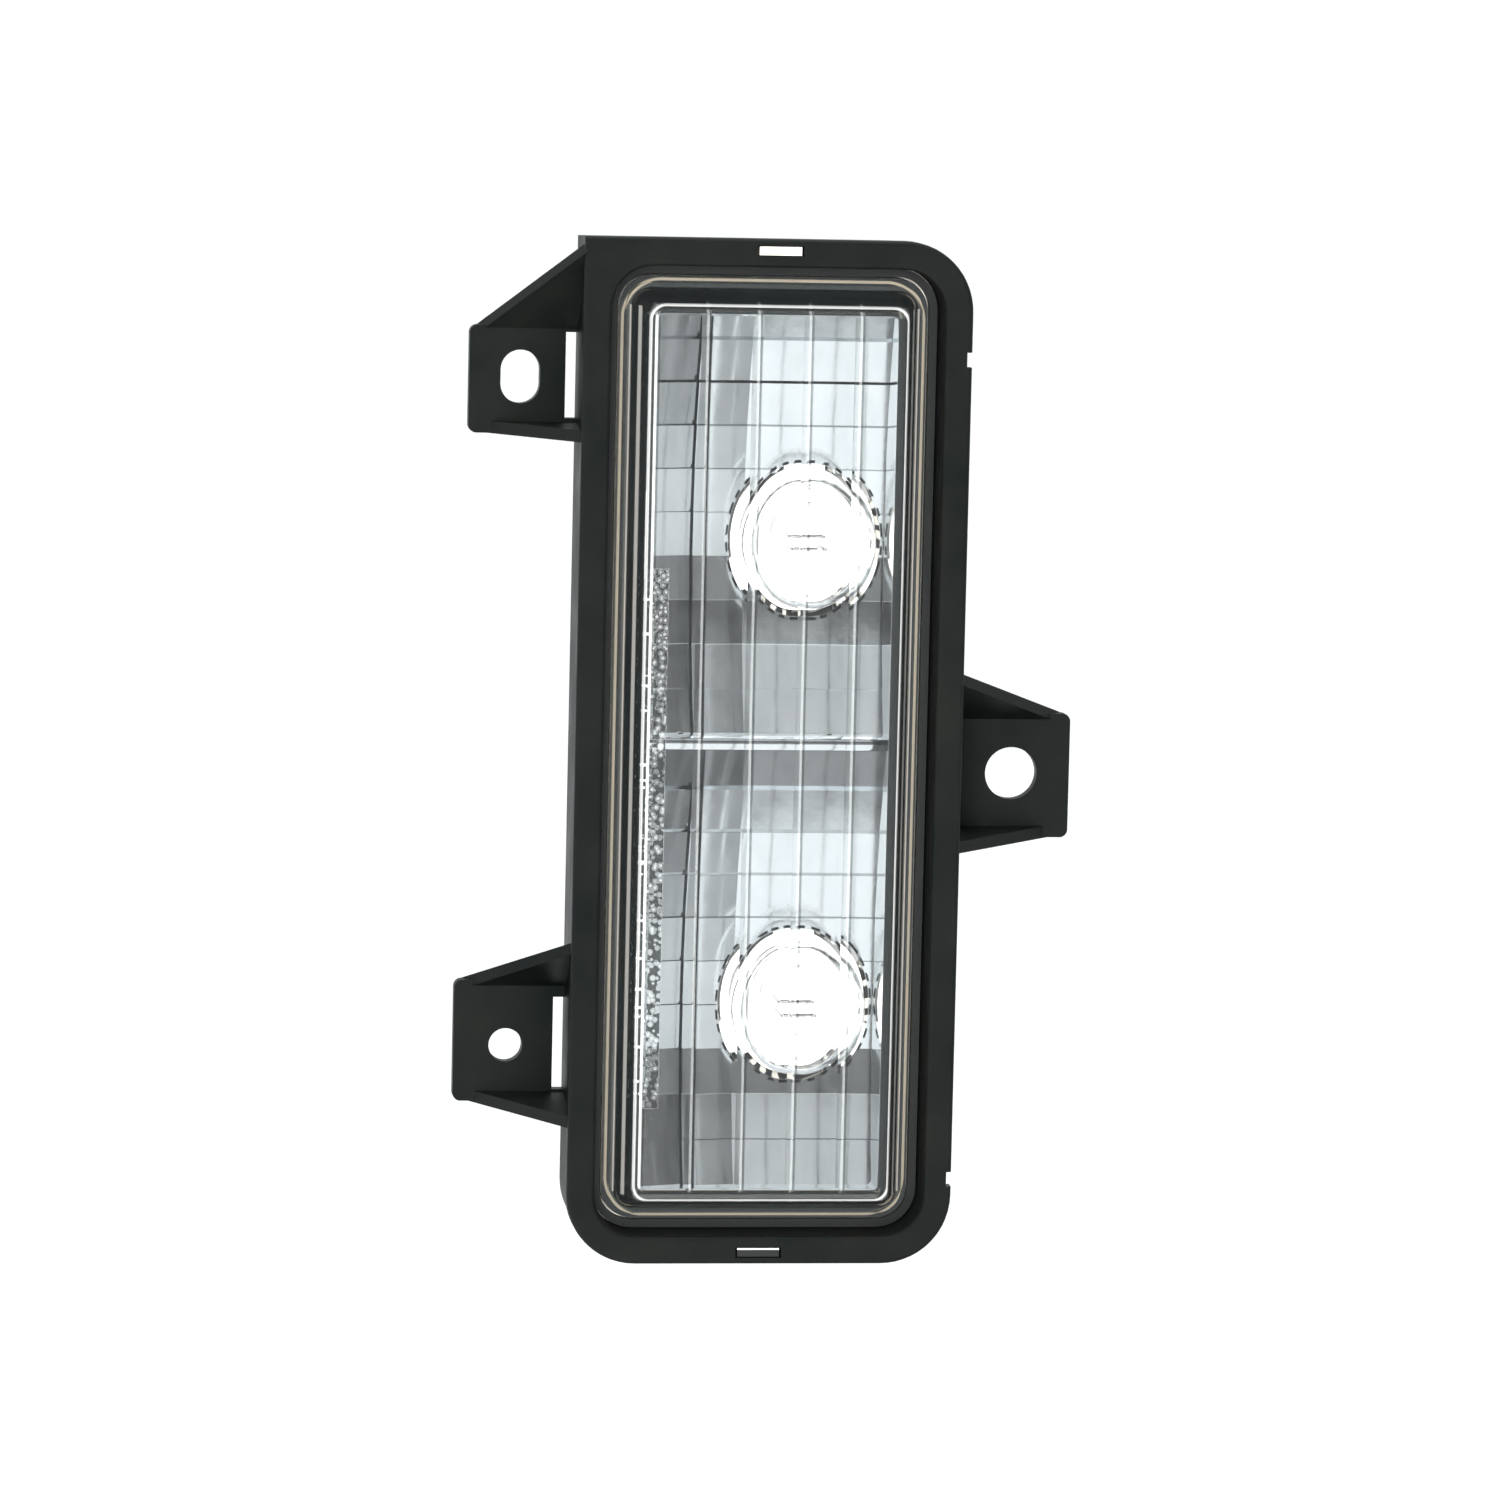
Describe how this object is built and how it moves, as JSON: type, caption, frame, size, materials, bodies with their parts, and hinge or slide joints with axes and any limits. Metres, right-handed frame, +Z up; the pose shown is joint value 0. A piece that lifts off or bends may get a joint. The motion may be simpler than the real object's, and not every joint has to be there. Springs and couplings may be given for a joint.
{
  "type": "front combination lamp",
  "caption": "Tall rectangular clear lamp in a black bolt-on frame, with a stepped reflector and twist-lock bulb sockets.",
  "frame": {"origin": "centre of the side ear's hole, on the plane where all three ears rest", "axes": "+Z up along the lamp's length, -Y out of the lens, +X towards the side ear"},
  "size_m": [0.124, 0.0685, 0.205],
  "materials": {
    "black_plastic": "fine moulded grain",
    "pale_plastic": "natural moulded",
    "clear_lens": "polished clear acrylic",
    "sealing_rubber": "matte",
    "bright_reflector": "vacuum metallised, stepped facets",
    "zinc_steel": "zinc plated",
    "filter_felt": "open foam",
    "socket_nylon": "natural nylon",
    "contact_brass": "tin flashed",
    "bulb_glass": "blown clear glass",
    "bulb_base_plastic": "moulded",
    "filament_wire": "coiled tungsten",
    "lead_wire": "drawn"
  },
  "bodies": {
    "lamp": {"mounting_frame": "black_plastic", "lamp_housing": "pale_plastic", "lens": "clear_lens", "lens_gasket": "sealing_rubber", "reflector": "bright_reflector", "reflector_screws": "zinc_steel", "vent_cap": "sealing_rubber", "vent_filter": "filter_felt"},
    "upper_bulb_holder": {"upper_socket": "socket_nylon", "upper_socket_seal": "sealing_rubber", "upper_contacts": "contact_brass", "upper_bulb_glass": "bulb_glass", "upper_bulb_base": "bulb_base_plastic", "upper_filaments": "filament_wire", "upper_lead_wires": "lead_wire"},
    "lower_bulb_holder": {"lower_socket": "socket_nylon", "lower_socket_seal": "sealing_rubber", "lower_contacts": "contact_brass", "lower_bulb_glass": "bulb_glass", "lower_bulb_base": "bulb_base_plastic", "lower_filaments": "filament_wire", "lower_lead_wires": "lead_wire"}
  },
  "joints": [
    {"name": "upper_socket_twist", "type": "hinge", "parent": "lamp", "child": "upper_bulb_holder", "pos_m": [-0.0417, 0.017, 0.046], "axis": [0, 1, 0], "range_deg": [0, 45]},
    {"name": "lower_socket_twist", "type": "hinge", "parent": "lamp", "child": "lower_bulb_holder", "pos_m": [-0.0417, 0.017, -0.0487], "axis": [0, 1, 0], "range_deg": [0, 45]}
  ]
}
